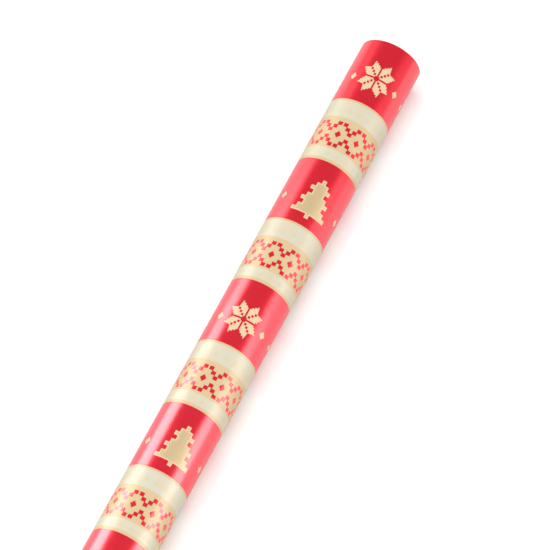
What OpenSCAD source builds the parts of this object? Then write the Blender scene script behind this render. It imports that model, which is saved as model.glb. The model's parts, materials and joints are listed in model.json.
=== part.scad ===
// Wrapping paper roll: a cut sheet wound on a paperboard core.
// The roll lies along X. The origin is on the core's axis at the middle of its length, +Z is up.
// Round-the-roll angles are counted from the top (+Z) towards the back (+Y).

/* [Roll] */
// Length of the wound sheet, along the roll
roll_length = 700; // [300:10:1000]
// Radius over the last turn of paper
roll_radius = 20; // [19.5:0.5:30]

/* [Core] */
// Radius of the hole through the core
bore_radius = 15.5; // [10:0.5:15.5]
// Thickness of one paperboard ply
ply_thickness = 0.5; // [0.3:0.1:0.6]
// How far the core stops short of the paper at each end
core_inset = 1; // [0:0.5:5]

/* [Start of the sheet] */
// Width of the adhesive strip that holds the inner end of the sheet, around the core
strip_width = 12; // [6:1:25]
// Thickness of that strip
strip_thickness = 0.15; // [0.1:0.05:0.25]
// Place of the strip round the core
strip_angle = 205; // [0:5:355]

/* [Tail of the sheet] */
// Place of the first fold line of the tail, at its root
tail_root_angle = 50; // [30:5:60]
// Turn that each leaf of the tail covers
leaf_angle = 16; // [12:1:18]
// Radial depth of the last turns, which the tail is cut from
outer_turn_depth = 0.5; // [0.4:0.1:0.8]
// Thickness of a leaf of the tail
leaf_thickness = 0.3; // [0.2:0.05:0.35]
// Open gap between one leaf and the next
leaf_gap = 0.3; // [0.2:0.05:0.5]

/* [Closing tabs] */
// Length of a tab of clear tape, along the roll
tab_length = 24; // [15:1:50]
// Length of tape that is stuck to the tail, around the roll
tab_on_tail = 3.4; // [2:0.1:4.5]
// Length of tape that reaches past the free edge
tab_past_edge = 7; // [4:0.5:9]
// Thickness of the tape
tab_thickness = 0.2; // [0.15:0.05:0.3]
// Distance from the middle of the roll to each tab
tab_offset = 190; // [60:10:220]

/* [Hidden] */

$fn = 96;
leaf_count = 5;
core_length = roll_length - 2 * core_inset;
core_radius = bore_radius + 3 * ply_thickness;
strip_length = core_length - 10;
// The last turns start here, and everything inside them is the wound body of the roll
body_radius = roll_radius - outer_turn_depth;
free_edge_angle = tail_root_angle + leaf_count * leaf_angle;
half_gap_angle = degrees_along(leaf_gap / 2, roll_radius);
// The tape clears the paper that it isn't lifted with
tab_clearance = tab_thickness / 2;

// Angle that an arc of this length takes at this radius
function degrees_along(length, radius) = length / radius * 180 / PI;

// A stretch of tube along X, from one angle to another round the roll
module shell(inner, outer, length, from, to) {
    rotate([0, 90, 0])
        translate([0, 0, -length / 2])
            rotate([0, 0, 180 - to])
                rotate_extrude(angle = to - from)
                    translate([inner, 0]) square([outer - inner, length]);
}

// A full tube along X
module tube(inner, outer, length) {
    rotate([0, 90, 0])
        difference() {
            cylinder(r = outer, h = length, center = true);
            cylinder(r = inner, h = length + 2, center = true);
        }
}

module ply(index) {
    tube(bore_radius + index * ply_thickness, bore_radius + (index + 1) * ply_thickness, core_length);
}

module core_inner_ply() { color([0.66, 0.54, 0.40]) ply(0); }

module core_middle_ply() { color([0.60, 0.49, 0.36]) ply(1); }

module core_outer_ply() { color([0.71, 0.60, 0.46]) ply(2); }

// Arc of the adhesive strip, which the wound sheet is relieved for
module strip_arc(length) {
    half = degrees_along(strip_width / 2, core_radius);
    shell(core_radius, core_radius + strip_thickness, length, strip_angle - half, strip_angle + half);
}

module start_strip() { color([0.93, 0.91, 0.80]) strip_arc(strip_length); }

module wound_sheet() {
    color([0.90, 0.85, 0.76])
        difference() {
            tube(core_radius, body_radius, roll_length);
            strip_arc(strip_length);
        }
}

module outer_turn() {
    color([0.85, 0.16, 0.22])
        shell(body_radius, roll_radius, roll_length,
              free_edge_angle + half_gap_angle, tail_root_angle + 360 - half_gap_angle);
}

module tail_leaf(index) {
    from = tail_root_angle + index * leaf_angle + half_gap_angle;
    to = tail_root_angle + (index + 1) * leaf_angle - half_gap_angle;
    color(index % 2 == 0 ? [0.93, 0.88, 0.72] : [0.88, 0.28, 0.30])
        shell(roll_radius - leaf_thickness, roll_radius, roll_length, from, to);
}

module tail_leaf_1() { tail_leaf(0); }

module tail_leaf_2() { tail_leaf(1); }

module tail_leaf_3() { tail_leaf(2); }

module tail_leaf_4() { tail_leaf(3); }

module tail_leaf_5() { tail_leaf(4); }

module closing_tab(place) {
    edge = free_edge_angle - half_gap_angle;
    from = edge - degrees_along(tab_on_tail, roll_radius);
    to = edge + degrees_along(tab_past_edge, roll_radius);
    outer = roll_radius + tab_thickness;
    color([0.80, 0.86, 0.90, 0.6])
        translate([place, 0, 0])
            union() {
                shell(roll_radius, outer, tab_length, from, edge);
                shell(roll_radius + tab_clearance, outer, tab_length, from, to);
            }
}

module closing_tab_left() { closing_tab(-tab_offset); }

module closing_tab_right() { closing_tab(tab_offset); }

core_inner_ply();
core_middle_ply();
core_outer_ply();
start_strip();
wound_sheet();
outer_turn();
tail_leaf_1();
tail_leaf_2();
tail_leaf_3();
tail_leaf_4();
tail_leaf_5();
closing_tab_left();
closing_tab_right();
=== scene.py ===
# %% [markdown]
# # A roll of foil wrapping paper
# The roll is one long sheet of metallised paper, wound 32 times round a paperboard tube.
# Its outside is printed like a knitted jumper: red bands with stars or trees, and cream bands
# with a chain of hexagons. The last stretch of the sheet is a loose tail, which lifts off the
# roll and straightens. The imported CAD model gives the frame, so it is loaded first, and every
# place below is worked out from it.

import json
import math

import bmesh
import bpy
from mathutils import Matrix, Vector


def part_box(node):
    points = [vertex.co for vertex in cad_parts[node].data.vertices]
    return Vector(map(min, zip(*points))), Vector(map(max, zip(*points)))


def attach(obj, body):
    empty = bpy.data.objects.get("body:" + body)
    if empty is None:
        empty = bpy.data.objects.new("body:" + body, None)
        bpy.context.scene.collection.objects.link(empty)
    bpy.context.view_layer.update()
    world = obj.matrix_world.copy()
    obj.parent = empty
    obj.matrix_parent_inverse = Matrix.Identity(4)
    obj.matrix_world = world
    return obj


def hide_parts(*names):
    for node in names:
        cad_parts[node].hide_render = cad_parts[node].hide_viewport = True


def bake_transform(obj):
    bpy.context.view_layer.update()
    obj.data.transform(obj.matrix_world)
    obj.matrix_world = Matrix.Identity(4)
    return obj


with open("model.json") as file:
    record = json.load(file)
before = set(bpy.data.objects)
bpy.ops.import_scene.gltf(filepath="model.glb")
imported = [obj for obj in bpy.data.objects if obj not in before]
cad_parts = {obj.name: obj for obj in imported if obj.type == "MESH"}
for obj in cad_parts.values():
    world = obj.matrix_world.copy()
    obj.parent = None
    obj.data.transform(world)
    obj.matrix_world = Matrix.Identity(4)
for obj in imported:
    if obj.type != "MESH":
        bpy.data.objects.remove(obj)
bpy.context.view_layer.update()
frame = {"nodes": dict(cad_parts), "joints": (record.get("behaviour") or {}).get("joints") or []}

# %% [markdown]
# ## Sizes
# A node's box gives its radius and length. The fold lines of the tail are the CAD's hinges, so
# their angles round the roll come from the joints. Angles are in degrees from the top (+Z)
# towards the back (+Y), and they grow along the sheet towards its free edge, past whole turns.

# %% Read the sizes
MM = 0.001

turn_low, turn_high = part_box("outer_turn")
roll_radius = turn_high[2]
half_length = turn_high[0]
core_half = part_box("core_inner_ply")[1][0]
ply_names = ["core_inner_ply", "core_middle_ply", "core_outer_ply"]
ply_outsides = [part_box(name)[1][2] for name in ply_names]
core_radius = ply_outsides[-1]
ply_thickness = ply_outsides[1] - ply_outsides[0]

folds = [Vector(joint["pos_m"]) for joint in frame["joints"]]
fold_angles = [math.degrees(math.atan2(place.y, place.z)) for place in folds]
leaf_turn = fold_angles[1] - fold_angles[0]
free_edge = fold_angles[-1] + leaf_turn
print(f"radius {roll_radius / MM:.1f} mm, half length {half_length / MM:.0f} mm")
print("folds at", [round(angle) for angle in fold_angles], "free edge at", round(free_edge))

# %% [markdown]
# ## Shader maths
# The print is drawn by the material, stitch by stitch, from the sheet's own flat coordinates.
# That takes many small sums, and a tree of Math nodes is hard to read. A small class that
# wraps a socket lets the sums be written as Python, and each operator adds its own node.


# %% A socket that can be added, multiplied and compared
class Wire:
    """One output of a node, on which shader maths is written as Python expressions."""

    def __init__(self, graph, socket):
        self.graph = graph
        self.socket = socket

    def output(self, name):
        """Another output of the same node."""
        return Wire(self.graph, self.socket.node.outputs[name])

    def math(self, operation, *others):
        return add_node(self.graph, "Math", {"operation": operation}, (self, *others))

    def __add__(self, other):
        return self.math("ADD", other)

    def __sub__(self, other):
        return self.math("SUBTRACT", other)

    def __rsub__(self, other):
        return add_node(self.graph, "Math", {"operation": "SUBTRACT"}, (other, self))

    def __mul__(self, other):
        return self.math("MULTIPLY", other)

    def __truediv__(self, other):
        return self.math("DIVIDE", other)

    def __lt__(self, other):
        return self.math("LESS_THAN", other)

    def __gt__(self, other):
        return self.math("GREATER_THAN", other)

    def __mod__(self, other):
        return self.math("FLOORED_MODULO", other)

    def __abs__(self):
        return self.math("ABSOLUTE")

    __radd__ = __add__
    __rmul__ = __mul__

    def floor(self):
        return self.math("FLOOR")

    def round(self):
        return self.math("ROUND")

    def least(self, other):
        return self.math("MINIMUM", other)

    def most(self, other):
        return self.math("MAXIMUM", other)

    def between(self, low, high):
        return (self > low) * (self < high)

    def folded(self, pitch):
        """How far this is from the nearest repeat of a pattern with that pitch."""
        return ((self / pitch + 0.5) % 1.0 - 0.5) * pitch


def add_node(graph, kind, settings, values, output=0):
    """A node of that kind, with its settings made first and then its inputs."""
    node = graph.nodes.new("ShaderNode" + kind)
    for name, value in settings.items():
        setattr(node, name, value)
    pairs = values.items() if isinstance(values, dict) else enumerate(values)
    for key, value in pairs:
        if isinstance(value, Wire):
            graph.links.new(value.socket, node.inputs[key])
        else:
            node.inputs[key].default_value = value
    return Wire(graph, node.outputs[output])


def mix_colours(graph, first, second, share):
    """The second colour over the first, as much as share says."""
    settings = {"data_type": "RGBA"}
    values = {"Factor": share, 6: first, 7: second}
    return add_node(graph, "Mix", settings, values, output=2)


def new_material(name):
    """An empty node material with its Principled shader."""
    material = bpy.data.materials.new(name)
    material.use_nodes = True
    shader = material.node_tree.nodes["Principled BSDF"]
    return material, material.node_tree, shader


def plug(graph, shader, **inputs):
    """Feeds a shader's sockets: Base_Color is Base Color, and so on."""
    for key, value in inputs.items():
        socket = shader.inputs[key.replace("_", " ")]
        if isinstance(value, Wire):
            graph.links.new(value.socket, socket)
        else:
            socket.default_value = value


print("shader maths ready")

# %% [markdown]
# ## The print
# The sheet's UV map holds metres on the flat sheet: u runs round the roll and v runs along it
# from the cut edge. Every motif is built on a grid of knit stitches. A stitch is found by
# rounding down, so that the edges of each motif step from stitch to stitch by themselves.
# Symmetry does the rest: folding a coordinate about a motif's middle draws both halves.

# %% Where the motifs are
BAND = 2.362 * roll_radius
TRIM = 0.3 * MM
around = math.radians(1) * roll_radius

MOTIF_PITCH = 125 * around
STAR_PLACE = -7.5 * around
STAR_LEVEL = 0.575 * BAND
STAR_STITCH = (0.0773 * roll_radius, 0.0857 * roll_radius)

TREE_PLACE = -16.4 * around
TREE_TOP = 0.267 * BAND
TREE_STITCH = (0.13 * roll_radius, 0.1458 * roll_radius)
HEM = 0.045 * roll_radius

GEM_FROM_STAR = 44.4 * around
GEM_LEVEL = 0.616 * BAND
GEM_SIZE = (0.113 * roll_radius, 0.136 * roll_radius)

CHAIN_PLACE = -13.5 * around
CHAIN_PITCH = 37.6 * around
CHAIN_LEVEL = 0.5645 * BAND
CHAIN_STITCH = (CHAIN_PITCH / 6, 0.1362 * roll_radius)

STRIPE_ABOVE = (0.03 * BAND, 0.295 * BAND)
STRIPE_BELOW = (0.80 * BAND, 0.955 * BAND)
DOTS_ABOVE = 0.18 * BAND
DOTS_BELOW = 0.893 * BAND
DOT_SIZE = (0.085 * roll_radius, 0.10 * roll_radius)
print(f"each band is {BAND / MM:.1f} mm wide, {2 * half_length / BAND:.1f} bands to the sheet")


# %% [markdown]
# A gem is where two distances add up to less than one. A star's petal ends in steps, is
# narrower towards its tip and has a line of open stitches along its middle. A tree is three
# tiers, and each starts a stitch wider than the one above it did.

# %% The gem, the star and the tree
TIP_REACH = 4.4
TIP_SLOPE = 0.7
SIDE_REACH = 4.85
SIDE_SLOPE = 0.21
OPEN_STITCH = 0.48
OPEN_LINE = 0.38
TREE_ROWS = 9
TRUNK_TOP = 8.9
TRUNK_FOOT = 10


def gem(across, along, size):
    """A small diamond of that half width and half height."""
    return abs(across) / size[0] + abs(along) / size[1] < 1.0


def star(across, along):
    """An eight-petalled star: petals of whole stitches with open lines between them."""
    a = abs(across) / STAR_STITCH[0]
    b = abs(along) / STAR_STITCH[1]
    near = a.least(b)
    far = a.most(b)
    steps = near.floor() + 0.5
    tip = far < TIP_SLOPE * steps + TIP_REACH
    sides = near + SIDE_SLOPE * far < SIDE_REACH
    petals = tip * sides * (far > 1)
    diagonal = abs(a.floor() - b.floor()) < 0.5
    dot = (abs(a % 1.0 - 0.5) < OPEN_STITCH) * (abs(b % 1.0 - 0.5) < OPEN_STITCH)
    lines = (a > OPEN_LINE) * (b > OPEN_LINE)
    return petals * lines * (1 - diagonal * dot)


def tree(across, down):
    """Three tiers of three rows, each row a stitch wider on both sides, and a short trunk."""
    a = abs(across) / TREE_STITCH[0]
    t = down / TREE_STITCH[1]
    width = (t / 3).floor() + (t % 3.0).floor() + 0.5
    tiers = (a < width) * t.between(0, TREE_ROWS)
    trunk = (a < 0.5) * t.between(TRUNK_TOP, TRUNK_FOOT)
    return tiers.most(trunk)


# %% [markdown]
# The cream band's chain is a row of hexagons. Seen from a crossing, its red stitches lie on a
# diagonal: one row up at the crossing, two rows up one stitch away, three rows up two away.


# %% The chain of hexagons
CHAIN_SLOPE = 1.06
CHAIN_HALF_STITCH = 0.66
CHAIN_GEM = (0.98, 0.98)


def chain(across, along):
    """The red stitches of the hexagons, and the red gem inside each."""
    p = abs(across) / CHAIN_STITCH[0]
    q = abs(along) / CHAIN_STITCH[1]
    row = q.round()
    stitch = (abs(p - CHAIN_SLOPE * (row - 1)) < CHAIN_HALF_STITCH) * row.between(0.5, 3.5)
    return stitch.most(gem(p - 3, q, CHAIN_GEM))


# %% [markdown]
# The bands come in fours: stars, chain, trees, chain. So the number of a place's band, counted
# from the cut edge, says which motifs it can be on. A pattern that repeats round the roll is
# drawn once, on the distance to its nearest repeat.


# %% Which ink is where
def print_masks(graph):
    """Where the sheet is red, pearl white, dotted, or shows a star, a gem or a tree's hem."""
    uv = add_node(graph, "UVMap", {"uv_map": "Print"}, ())
    flat = add_node(graph, "SeparateXYZ", {}, (uv,))
    u = flat.output("X")
    v = flat.output("Y") - TRIM
    band = (v / BAND).floor()
    down = v - band * BAND
    kind = band % 4.0
    in_star_band = kind < 0.5
    in_tree_band = kind.between(1.5, 2.5)
    in_cream_band = 1 - in_star_band - in_tree_band

    star_u = (u - STAR_PLACE).folded(MOTIF_PITCH)
    tree_u = (u - TREE_PLACE).folded(MOTIF_PITCH)
    star_gem_u = abs(star_u) - GEM_FROM_STAR
    tree_gem_u = abs(tree_u) - MOTIF_PITCH / 2
    stars = star(star_u, down - STAR_LEVEL).most(gem(star_gem_u, down - GEM_LEVEL, GEM_SIZE))
    trees = tree(tree_u, down - TREE_TOP).most(gem(tree_gem_u, down - GEM_LEVEL, GEM_SIZE))

    half_tree = abs(tree_u) + HEM
    tree_down = down - TREE_TOP
    heart = tree(half_tree, tree_down - HEM) * tree(half_tree, tree_down + HEM) * in_tree_band

    chain_u = (u - CHAIN_PLACE).folded(CHAIN_PITCH)
    links = chain(chain_u, down - CHAIN_LEVEL)
    red = in_star_band * (1 - stars) + in_tree_band * (1 - trees) + in_cream_band * links

    stripes = down.between(*STRIPE_ABOVE).most(down.between(*STRIPE_BELOW))
    dot_u = (u - CHAIN_PLACE).folded(CHAIN_PITCH / 2)
    dots_above = gem(dot_u, down - DOTS_ABOVE, DOT_SIZE)
    dots_below = gem(dot_u, down - DOTS_BELOW, DOT_SIZE)
    dots = dots_above.most(dots_below) * in_cream_band
    pearl = stripes * in_cream_band
    motif = (1 - red) * (1 - in_cream_band) * (1 - heart)
    return red, pearl, dots, motif, heart


# %% [markdown]
# ## Finishes
# The printed side is foil paper. Where it is bare it is champagne gold, the red is a clear ink
# over that metal, and the white stripes are a pearly ink. A clear lacquer lies over it all, so
# the lamps show in it as milky streaks. The foil is never quite flat, which a faint, large
# bump gives. The other side and the cut edges are plain paper.

# %% Printed foil
RED = (0.76, 0.012, 0.030, 1)
GOLD = (0.58, 0.44, 0.25, 1)
CREAM = (0.68, 0.49, 0.31, 1)
PEARL = (0.59, 0.51, 0.375, 1)
COOL_PEARL = (0.56, 0.53, 0.42, 1)
DOT = (0.56, 0.51, 0.34, 1)


def printed_foil():
    material, graph, shader = new_material("printed_foil")
    red, pearl, dots, motif, heart = print_masks(graph)
    place = add_node(graph, "TexCoord", {}, (), output="Object")
    drawn_out = add_node(graph, "Mapping", {}, {"Vector": place, "Scale": (0.6, 1.5, 1.5)})
    waves = add_node(graph, "TexNoise", {}, {"Vector": drawn_out, "Scale": 45.0, "Detail": 1.0})
    lustre = add_node(graph, "TexNoise", {}, {"Vector": place, "Scale": 120.0, "Detail": 1.0})
    shimmer = (lustre * 4 - 1.5).most(0).least(1)
    colour = mix_colours(graph, GOLD, mix_colours(graph, PEARL, COOL_PEARL, shimmer), pearl)
    colour = mix_colours(graph, colour, CREAM, motif)
    colour = mix_colours(graph, colour, DOT, dots)
    colour = mix_colours(graph, colour, RED, red)
    grain = add_node(graph, "TexNoise", {}, {"Vector": place, "Scale": 900.0, "Detail": 2.0})
    height = waves + grain * 0.02
    bump = add_node(graph, "Bump", {}, {"Strength": 0.4, "Distance": 0.0015, "Height": height})
    plug(
        graph,
        shader,
        Base_Color=colour,
        Metallic=red * 0.28 + heart * 0.25 + 0.12,
        Roughness=grain * 0.10 + 0.50 - red * 0.20,
        Specular_IOR_Level=0.0,
        Coat_Weight=red * 0.36 + 0.12,
        Coat_Roughness=0.25,
        Coat_IOR=2.4,
        Normal=bump,
    )
    return material


foil = printed_foil()
print("printed foil:", len(foil.node_tree.nodes), "nodes")


# %% [markdown]
# The paper's back and cut edges are plain and fibrous. The core is recycled board, browner and
# flecked, with its fibres lying along the tube. Both are matt, as nothing coats them.

# %% Plain paper and paperboard
FLECK = (0.22, 0.15, 0.09, 1)


def plain_paper():
    material, graph, shader = new_material("paper_back")
    place = add_node(graph, "TexCoord", {}, (), output="Object")
    fibre = add_node(graph, "TexNoise", {}, {"Vector": place, "Scale": 700.0, "Detail": 4.0})
    colour = mix_colours(graph, (0.80, 0.79, 0.76, 1), (0.90, 0.89, 0.87, 1), fibre)
    bump = add_node(graph, "Bump", {}, {"Strength": 0.3, "Distance": 0.0001, "Height": fibre})
    plug(graph, shader, Base_Color=colour, Roughness=fibre * 0.2 + 0.65, Normal=bump)
    return material


def paperboard(name, pale, dark, scale):
    material, graph, shader = new_material(name)
    place = add_node(graph, "TexCoord", {}, (), output="Object")
    long_fibre = add_node(graph, "Mapping", {}, {"Vector": place, "Scale": (0.35, 1.0, 1.0)})
    fibre = add_node(
        graph, "TexNoise", {}, {"Vector": long_fibre, "Scale": scale, "Detail": 6.0, "Roughness": 0.7}
    )
    fleck = add_node(graph, "TexNoise", {}, {"Vector": place, "Scale": 160.0, "Detail": 3.0})
    colour = mix_colours(graph, pale, dark, (fibre * 1.4 - 0.2).most(0.0).least(1.0))
    colour = mix_colours(graph, colour, FLECK, (fleck > 0.68) * 0.45)
    bump = add_node(graph, "Bump", {}, {"Strength": 0.5, "Distance": 0.0002, "Height": fibre})
    plug(graph, shader, Base_Color=colour, Roughness=fibre * 0.15 + 0.78, Normal=bump)
    return material


paper = plain_paper()
liner = paperboard("core_liner", (0.46, 0.33, 0.21, 1), (0.33, 0.23, 0.14, 1), 420.0)
board = paperboard("core_board", (0.38, 0.30, 0.21, 1), (0.27, 0.21, 0.15, 1), 320.0)
face = paperboard("core_face", (0.55, 0.43, 0.29, 1), (0.40, 0.30, 0.19, 1), 500.0)
print("paper and board:", paper.name, liner.name, board.name, face.name)

# %% [markdown]
# The glue is cloudy and a little glossy. The tape is nearly clear, so most of its look is its
# alpha, with a faint haze where its own glue isn't quite even.


# %% Adhesive and tape
def adhesive():
    material, graph, shader = new_material("adhesive_strip")
    place = add_node(graph, "TexCoord", {}, (), output="Object")
    cloud = add_node(graph, "TexNoise", {}, {"Vector": place, "Scale": 240.0, "Detail": 3.0})
    colour = mix_colours(graph, (0.78, 0.74, 0.58, 1), (0.90, 0.88, 0.76, 1), cloud)
    plug(graph, shader, Base_Color=colour, Roughness=cloud * 0.2 + 0.45)
    return material


def clear_tape():
    material, graph, shader = new_material("clear_tape")
    place = add_node(graph, "TexCoord", {}, (), output="Object")
    haze = add_node(graph, "TexNoise", {}, {"Vector": place, "Scale": 300.0, "Detail": 3.0})
    ripple = add_node(graph, "Bump", {}, {"Strength": 0.2, "Distance": 0.0002, "Height": haze})
    plug(
        graph,
        shader,
        Base_Color=mix_colours(graph, (0.86, 0.88, 0.90, 1), (0.95, 0.96, 0.97, 1), haze),
        Roughness=haze * 0.15 + 0.12,
        Alpha=haze * 0.12 + 0.20,
        Normal=ripple,
    )
    return material


glue = adhesive()
tape = clear_tape()
print("finishes:", len(bpy.data.materials))

# %% [markdown]
# ## Winding the sheet
# A wound sheet is a spiral, and the Spin operator only goes round in circles. But Spin can also
# advance, like a screw. So the sheet's edge is spun with a small advance along the roll, which
# tells each vertex how far round it has come. The advance is then taken out again, and the
# vertex's distance from the axis is set from its angle. One function winds every stretch.

# %% How deep a turn lies, and how level its edges are
SHEET = 0.07 * MM
TURN = 0.09 * MM
ADVANCE = 0.1 * MM
UNEVEN = 0.09 * MM


def sheet_radius(angle):
    """Radius of the printed side at an angle, which shrinks by one turn's depth per turn."""
    return roll_radius - TURN * (free_edge - angle) / 360


def edge_shift(angle, side):
    """The turns' edges are never quite level: each lies a little in or out of its neighbours."""
    turn = math.radians(angle)
    wave = math.sin(turn * 0.37 + side) + math.sin(turn * 0.113 + 2 * side)
    return -side * UNEVEN * (2 + wave)


# %% [markdown]
# Three steps come back for several pieces: drawing the thin rectangle that is spun, keeping
# square corners crisp while round faces shade smoothly, and making the finished object.


# %% Steps that the pieces share
def thin_rim(mesh, x_low, x_high, inside, outside):
    """A thin rectangle seen end on, from inside radius to outside radius, ready to be spun."""
    corners = [(x_low, inside), (x_high, inside), (x_high, outside), (x_low, outside)]
    rim = [mesh.verts.new((x, 0, z)) for x, z in corners]
    lines = [mesh.edges.new((rim[i], rim[(i + 1) % 4])) for i in range(4)]
    return rim + lines


def crisp_corners(mesh, limit):
    """Shades smoothly over every edge that bends less than the limit, in degrees."""
    for line in mesh.edges:
        line.smooth = line.calc_face_angle(0) < math.radians(limit)


def finish_piece(name, mesh, materials):
    """Turns a bmesh into an object at the origin with its materials."""
    data = bpy.data.meshes.new(name)
    mesh.to_mesh(data)
    mesh.free()
    for material in materials:
        data.materials.append(material)
    piece = bpy.data.objects.new(name, data)
    bpy.context.scene.collection.objects.link(piece)
    return piece


# %% [markdown]
# A stretch of sheet gets two materials: foil on the printed side, plain paper on the rest. Its
# UV map is laid out flat from the angles, so the print runs on from one stretch to the next.


# %% One stretch of the sheet
def wind_sheet(name, start, end, step, pieces_along):
    """A stretch of the sheet between two angles, with its print laid out in a UV map."""
    mesh = bmesh.new()
    rim = thin_rim(mesh, -half_length, half_length, roll_radius - SHEET, roll_radius)
    steps = math.ceil((end - start) / step)
    bmesh.ops.spin(
        mesh,
        geom=rim,
        cent=(0, 0, 0),
        axis=(-1, 0, 0),
        dvec=(ADVANCE, 0, 0),
        angle=math.radians(end - start),
        steps=steps,
        use_merge=False,
    )
    angles = {}
    for vertex in mesh.verts:
        side = math.copysign(1, vertex.co.x)
        count = round((vertex.co.x - side * half_length) / ADVANCE)
        angle = start + (end - start) * count / steps
        depth = roll_radius - math.hypot(vertex.co.y, vertex.co.z)
        radius = sheet_radius(angle) - depth
        turn = math.radians(angle)
        x = side * half_length + edge_shift(angle, side)
        vertex.co = (x, radius * math.sin(turn), radius * math.cos(turn))
        angles[vertex] = angle
    bmesh.ops.holes_fill(mesh, edges=[e for e in mesh.edges if e.is_boundary], sides=4)
    bmesh.ops.recalc_face_normals(mesh, faces=mesh.faces)
    print_map = mesh.loops.layers.uv.new("Print")
    for part in mesh.faces:
        for loop in part.loops:
            u = math.radians(angles[loop.vert]) * roll_radius
            loop[print_map].uv = (u, half_length - loop.vert.co.x)
        middle = part.calc_center_median()
        outward = Vector((0, middle.y, middle.z)).normalized()
        part.material_index = 0 if part.normal.dot(outward) > 0.9 else 1
        part.smooth = True
    crisp_corners(mesh, 30)
    if pieces_along > 1:
        long_edges = [e for e in mesh.edges if e.calc_length() > half_length]
        bmesh.ops.subdivide_edges(mesh, edges=long_edges, cuts=pieces_along - 1, use_grid_fill=True)
    return finish_piece(name, mesh, [foil, paper])


# %% [markdown]
# The turns inside are only seen as fine rings at the two ends, so coarser steps do for them.
# Under the tail the turn below shows when it lifts, so that stretch is printed as well.

# %% The inner turns, the turn under the tail and the outer turn
half_leaf = leaf_turn / 2
tail_start = fold_angles[0] - half_leaf
turn_count = math.floor((roll_radius - core_radius - SHEET) / TURN)
sheet_start = free_edge - 360 * turn_count
under_start = tail_start - 360
under_end = free_edge - 360

inner_turns = wind_sheet("inner_turns", sheet_start, under_start, 6, 1)
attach(inner_turns, "roll")
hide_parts("wound_sheet")

under_tail = wind_sheet("turn_under_tail", under_start, under_end, 1, 8)
outer_turn = wind_sheet("outer_turn_print", under_end, tail_start, 1, 8)
for piece in (under_tail, outer_turn):
    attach(piece, "roll")
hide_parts("outer_turn")
sheet_length = sum(
    2 * math.pi * sheet_radius(free_edge - 360 * turn - 180) for turn in range(turn_count)
)
print(f"{turn_count} turns hold {sheet_length:.2f} m of paper")

# %% [markdown]
# ## The tail
# The tail bends all along, while its CAD stand-ins are stiff leaves. Each stretch of paper runs
# from the middle of one leaf to the middle of the next, across a fold, and is wound in place on
# the roll. The last half leaf is stiff to its free edge.


tail_bodies = ["roll"] + [joint["child"] for joint in frame["joints"]]
leaf_nodes = [f"tail_leaf_{number + 1}" for number in range(len(folds))]
for number, angle in enumerate(fold_angles):
    start, end = angle - half_leaf, angle + half_leaf
    bend = wind_sheet(f"tail_bend_{number + 1}", start, end, 1, 8)
    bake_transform(bend)
    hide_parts(leaf_nodes[number])
tail_edge = wind_sheet("tail_edge", free_edge - half_leaf, free_edge, 1, 8)
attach(tail_edge, tail_bodies[-1])
print("tail from", round(tail_start), "to", round(free_edge), "degrees")

# %% [markdown]
# ## The core
# A paperboard tube is made of strips wound on a slant, each butted against its own last turn,
# with the next ply wound the other way over it. Spin with a large advance makes just that: the
# strip's end is a flat rectangle, spun round and pushed along. It starts and ends beyond the
# tube, and two cuts square it off.


# %% Wind one ply
STEPS_A_TURN = 60
PLY_GAP = 0.01 * MM


def cut_square(mesh, x):
    """Cuts off what lies past a plane across the roll and closes the cut."""
    everything = mesh.verts[:] + mesh.edges[:] + mesh.faces[:]
    bmesh.ops.bisect_plane(
        mesh, geom=everything, plane_co=(x, 0, 0), plane_no=(math.copysign(1, x), 0, 0), clear_outer=True
    )
    bmesh.ops.holes_fill(mesh, edges=[e for e in mesh.edges if e.is_boundary], sides=0)


def wind_ply(name, outside, lead, way, gap, material):
    """One ply: a strip wound on a helix, which advances by lead each turn."""
    mesh = bmesh.new()
    inside = outside - ply_thickness + PLY_GAP
    first = -core_half - 1.5 * lead
    last = first + lead - gap
    rim = thin_rim(mesh, first, last, inside, outside)
    turns = math.ceil(2 * core_half / lead) + 2
    bmesh.ops.spin(
        mesh,
        geom=rim,
        cent=(0, 0, 0),
        axis=(way, 0, 0),
        dvec=(lead / STEPS_A_TURN, 0, 0),
        angle=2 * math.pi * turns,
        steps=STEPS_A_TURN * turns,
        use_merge=False,
    )
    cut_square(mesh, core_half)
    cut_square(mesh, -core_half)
    bmesh.ops.recalc_face_normals(mesh, faces=mesh.faces)
    for part in mesh.faces:
        part.smooth = abs(part.normal.x) < 0.7
    crisp_corners(mesh, 30)
    return finish_piece(name, mesh, [material])


# %% [markdown]
# The plies differ a little in width and in how closely their turns meet. Neighbours wind
# opposite ways, so their seams cross, and each ply holds the other from unwinding.

# %% The three plies
ply_leads = [74 * MM, 81 * MM, 78 * MM]
ply_ways = [1, -1, 1]
ply_gaps = [0.5 * MM, 0.8 * MM, 0.4 * MM]
ply_boards = [liner, board, face]
for number, node in enumerate(ply_names):
    ply = wind_ply(
        node + "_wound",
        ply_outsides[number],
        ply_leads[number],
        ply_ways[number],
        ply_gaps[number],
        ply_boards[number],
    )
    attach(ply, "roll")
    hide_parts(node)
    print(ply.name, len(ply.data.polygons), "faces")

# %% [markdown]
# The start of the sheet is held to the core by a strip of glue, which the turns hide. It is a
# plain strip, as in the CAD, so that shape stays and only gets its finish.

# %% Adhesive strip
for slot in frame["nodes"]["start_strip"].material_slots:
    slot.material = glue

# %% [markdown]
# ## Closing tapes
# Two short pieces of clear tape hold the free edge down. A piece is torn off over a row of
# teeth, so its ends are zigzag: as the tape's width is spun round the roll in small steps,
# every second vertex of its ends is drawn in. It steps down where it leaves the sheet's edge.

# %% Two pieces of tape
TAPE_ON_TAIL = 3.4 * MM
TAPE_PAST_EDGE = 7 * MM
TAPE_THICKNESS = 0.05 * MM
TAPE_GAP = 0.02 * MM
TOOTH = 0.5 * MM
TAPE_STEPS = 20


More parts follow.
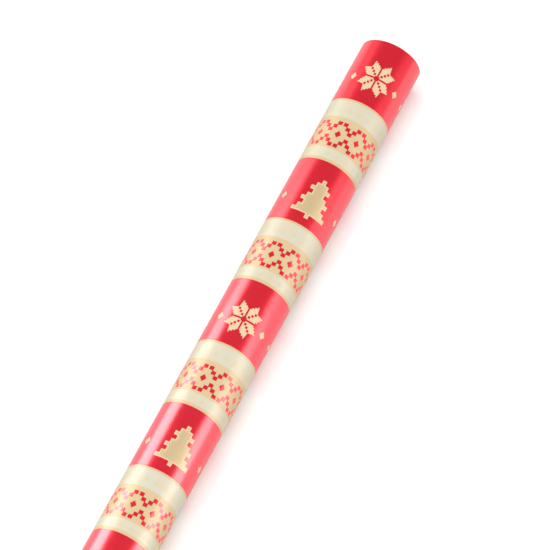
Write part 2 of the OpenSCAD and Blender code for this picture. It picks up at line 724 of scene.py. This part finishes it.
def closing_tape(name, node):
    low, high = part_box(node)
    mesh = bmesh.new()
    ends = [mesh.verts.new((x, 0, roll_radius)) for x in (low[0], high[0])]
    line = mesh.edges.new(ends)
    first = free_edge - math.degrees(TAPE_ON_TAIL / roll_radius)
    last = free_edge + math.degrees(TAPE_PAST_EDGE / roll_radius)
    bmesh.ops.rotate(
        mesh, verts=ends, cent=(0, 0, 0), matrix=Matrix.Rotation(math.radians(-first), 3, "X")
    )
    bmesh.ops.spin(
        mesh,
        geom=ends + [line],
        cent=(0, 0, 0),
        axis=(-1, 0, 0),
        dvec=(0, 0, 0),
        angle=math.radians(last - first),
        steps=TAPE_STEPS,
        use_merge=False,
    )
    for vertex in mesh.verts:
        angle = math.degrees(math.atan2(vertex.co.y, vertex.co.z))
        count = round((angle - first) / (last - first) * TAPE_STEPS)
        middle = (low[0] + high[0]) / 2
        vertex.co.x -= math.copysign(TOOTH * (count % 2), vertex.co.x - middle)
        stuck_to = roll_radius if angle < free_edge + 1 else roll_radius - SHEET
        lift = (stuck_to + TAPE_GAP) / roll_radius
        vertex.co.y *= lift
        vertex.co.z *= lift
    bmesh.ops.recalc_face_normals(mesh, faces=mesh.faces)
    if mesh.faces[0].normal.dot(mesh.faces[0].calc_center_median()) < 0:
        bmesh.ops.reverse_faces(mesh, faces=mesh.faces)
    bmesh.ops.solidify(mesh, geom=mesh.faces[:], thickness=-TAPE_THICKNESS)
    for part in mesh.faces:
        part.smooth = True
    crisp_corners(mesh, 40)
    piece = finish_piece(name, mesh, [tape])
    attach(piece, tail_bodies[-1])
    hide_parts(node)
    return piece


for side in ("left", "right"):
    strip = closing_tape("closing_tape_" + side, "closing_tab_" + side)
    print(strip.name, [round(size / MM, 1) for size in strip.dimensions])

# %% [markdown]
# ## Floor, sky, lamps and camera
# The floor is white, and an even white sky lights it from all sides. The sky isn't seen in
# reflections, as a foil that mirrors it would lose the dark streak between its two pale ones.

# %% Floor and sky
floor_mesh = bmesh.new()
bmesh.ops.create_grid(floor_mesh, x_segments=1, y_segments=1, size=12)
floor_level = -roll_radius
bmesh.ops.translate(floor_mesh, verts=floor_mesh.verts, vec=(0, 0, floor_level))
white, white_nodes, white_shader = new_material("white_floor")
plug(white_nodes, white_shader, Base_Color=(0.86, 0.86, 0.86, 1), Roughness=0.9)
floor = finish_piece("floor", floor_mesh, [white])

world = bpy.data.worlds.new("studio")
bpy.context.scene.world = world
world.use_nodes = True
world.node_tree.nodes["Background"].inputs["Color"].default_value = (1, 1, 1, 1)
world.node_tree.nodes["Background"].inputs["Strength"].default_value = 0.55
world.cycles_visibility.glossy = False
print("floor at", round(floor_level / MM, 1), "mm")

# %% [markdown]
# Two long soft lamps stand beside the roll, one at each side, and show only in reflections: they
# run along the foil as two pale streaks. A large lamp overhead does the opposite. It lights the
# colours from above and isn't reflected.


# %% Lamps
def soft_lamp(name, middle, aim, size, radiance):
    """A rectangular lamp of an even brightness, turned towards a point."""
    light = bpy.data.lights.new(name, "AREA")
    light.shape = "RECTANGLE"
    light.size, light.size_y = size
    light.energy = radiance * math.pi * size[0] * size[1]
    lamp = bpy.data.objects.new(name, light)
    towards = (Vector(aim) - Vector(middle)).normalized()
    side = Vector((1, 0, 0))
    up = towards.cross(side).normalized() * -1
    side = towards.cross(up)
    lamp.matrix_world = Matrix.Translation(middle) @ Matrix((side, up, -towards)).transposed().to_4x4()
    lamp.visible_camera = False
    bpy.context.scene.collection.objects.link(lamp)
    return lamp


lamp_back = soft_lamp("lamp_back", (-0.60, 1.45, 0.56), (-0.60, 0, 0), (3.1, 1.15), 7.5)
lamp_front = soft_lamp("lamp_front", (-0.72, -1.40, 0.53), (-0.72, 0, 0), (3.1, 1.0), 6.5)
lamp_back.visible_diffuse = False
lamp_front.visible_diffuse = False
lamp_top = soft_lamp("lamp_top", (0, 0, 3.0), (0, 0, 0), (4.0, 4.0), 2.6)
lamp_top.visible_glossy = False
print("lamps:", lamp_back.name, lamp_front.name, lamp_top.name)

# %% [markdown]
# The camera looks down on the roll from well back through a long lens, so that its bands stay
# the same size from end to end.

# %% Camera
AZIMUTH = math.radians(-64.46)
ELEVATION = math.radians(60)
aim = Vector((half_length - 8.52 * roll_radius, -0.073 * roll_radius, 0))
distance = 169.1 * roll_radius
back = Vector(
    (
        math.sin(AZIMUTH) * math.cos(ELEVATION),
        -math.cos(AZIMUTH) * math.cos(ELEVATION),
        math.sin(ELEVATION),
    )
)
camera_data = bpy.data.cameras.new("camera")
camera_data.sensor_width = 36
camera_data.lens = 363.8
camera_data.clip_end = 100
camera = bpy.data.objects.new("camera", camera_data)
camera.location = aim + back * distance
camera.rotation_mode = "QUATERNION"
camera.rotation_quaternion = (-back).to_track_quat("-Z", "Y")
bpy.context.scene.collection.objects.link(camera)
bpy.context.scene.camera = camera
bpy.context.scene.view_settings.view_transform = "Standard"
print(f"camera {distance:.2f} m away, lens {camera_data.lens} mm")
